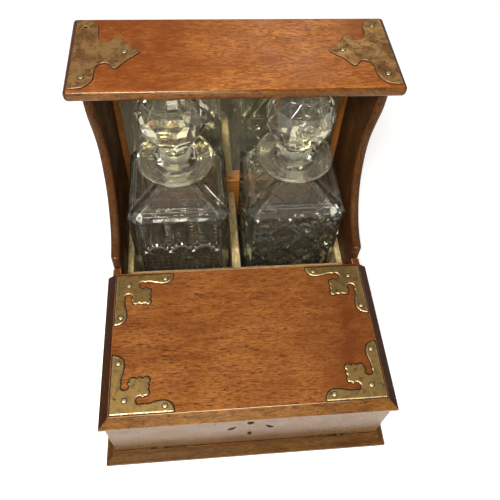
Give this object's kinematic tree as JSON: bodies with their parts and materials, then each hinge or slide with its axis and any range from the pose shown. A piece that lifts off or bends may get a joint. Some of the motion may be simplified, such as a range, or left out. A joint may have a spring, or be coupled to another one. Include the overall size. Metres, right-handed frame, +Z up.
{
  "type": "games tantalus",
  "caption": "Oak games box with a brass-mounted lifting lid in front of a mirrored bay, whose top board keeps cut glass decanters captive until the box tips forward.",
  "frame": {"origin": "middle of the footprint, on the surface that the plinth stands on", "axes": "+Z up, the games box and its lock face -Y, +X to the right of someone facing the front"},
  "size_m": [0.25, 0.285, 0.2388],
  "materials": {
    "oak": "polished quarter-sawn oak, reddish brown, worn at the edges",
    "pale_wood": "bare faded wood, dusty",
    "dark_wood": "stained softwood, matt",
    "baize": "green woollen baize",
    "brass": "aged brass, darkened in the hollows",
    "tarnished_brass": "brown tarnished brass",
    "steel": "filed steel",
    "mirror": "silvered plate glass",
    "glass": "clear cut glass, slightly grey green",
    "card": "plain pasteboard"
  },
  "bodies": {
    "case": {"base_board": "oak", "base_baize": "baize", "plinth_front": "oak", "plinth_left": "oak", "plinth_right": "oak", "side_panel_left": "oak", "side_panel_right": "oak", "back_panel": "oak", "mirror_rail": "oak", "mirror": "mirror", "mirror_bead_left": "oak", "mirror_bead_right": "oak", "top_board": "oak", "top_mount_left": "tarnished_brass", "top_mount_right": "tarnished_brass", "well_liner_left": "pale_wood", "well_liner_right": "pale_wood", "well_divider": "pale_wood", "catch_keeper": "brass", "well_pad_left": "baize", "well_pad_right": "baize", "foot_hinge_base_leaf_left": "brass", "foot_hinge_base_leaf_right": "brass"},
    "games_box": {"box_front": "oak", "box_side_left": "oak", "box_side_right": "oak", "box_back": "oak", "box_batten": "oak", "box_floor": "dark_wood", "escutcheon_pin": "brass", "games_lining": "baize", "partition_long": "pale_wood", "partition_short_left": "pale_wood", "partition_short_right": "pale_wood", "cribbage_board": "pale_wood", "card_pack_left": "card", "card_pack_right": "card", "lock_case": "brass", "catch_guide": "brass", "lid_hinge_box_leaf_left": "brass", "lid_hinge_box_leaf_right": "brass", "foot_hinge_box_leaf_left": "brass", "foot_hinge_box_leaf_right": "brass"},
    "lid": {"lid_panel": "oak", "lid_keeper": "brass", "lid_mount_front_left": "brass", "lid_mount_front_right": "brass", "lid_mount_back_left": "brass", "lid_mount_back_right": "brass", "lid_hinge_lid_leaf_left": "brass", "lid_hinge_lid_leaf_right": "brass"},
    "lock_bolt": {"lock_bolt": "steel"},
    "catch_bolt": {"catch_bolt": "brass"},
    "decanter_left": {"decanter_left": "glass"},
    "decanter_right": {"decanter_right": "glass"},
    "stopper_left": {"stopper_left": "glass"},
    "stopper_right": {"stopper_right": "glass"}
  },
  "joints": [
    {"name": "box_tip", "type": "hinge", "parent": "case", "child": "games_box", "pos_m": [0, -0.1331, 0.01245], "axis": [1, 0, 0], "range_deg": [0, 90]},
    {"name": "lid_lift", "type": "hinge", "parent": "games_box", "child": "lid", "pos_m": [0, 0.0008, 0.07615], "axis": [-1, 0, 0], "range_deg": [0, 93]},
    {"name": "lock_bolt_throw", "type": "slide", "parent": "games_box", "child": "lock_bolt", "axis": [1, 0, 0], "range_m": [0, 0.006]},
    {"name": "catch_bolt_throw", "type": "slide", "parent": "games_box", "child": "catch_bolt", "axis": [0, 1, 0], "range_m": [0, 0.007]},
    {"name": "decanter_left_slide", "type": "slide", "parent": "case", "child": "decanter_left", "axis": [0, -1, 0], "range_m": [0, 0.019]},
    {"name": "decanter_right_slide", "type": "slide", "parent": "case", "child": "decanter_right", "axis": [0, -1, 0], "range_m": [0, 0.019]},
    {"name": "stopper_left_lift", "type": "slide", "parent": "decanter_left", "child": "stopper_left", "axis": [0, 0, 1], "range_m": [0, 0.002]},
    {"name": "stopper_right_lift", "type": "slide", "parent": "decanter_right", "child": "stopper_right", "axis": [0, 0, 1], "range_m": [0, 0.002]}
  ]
}
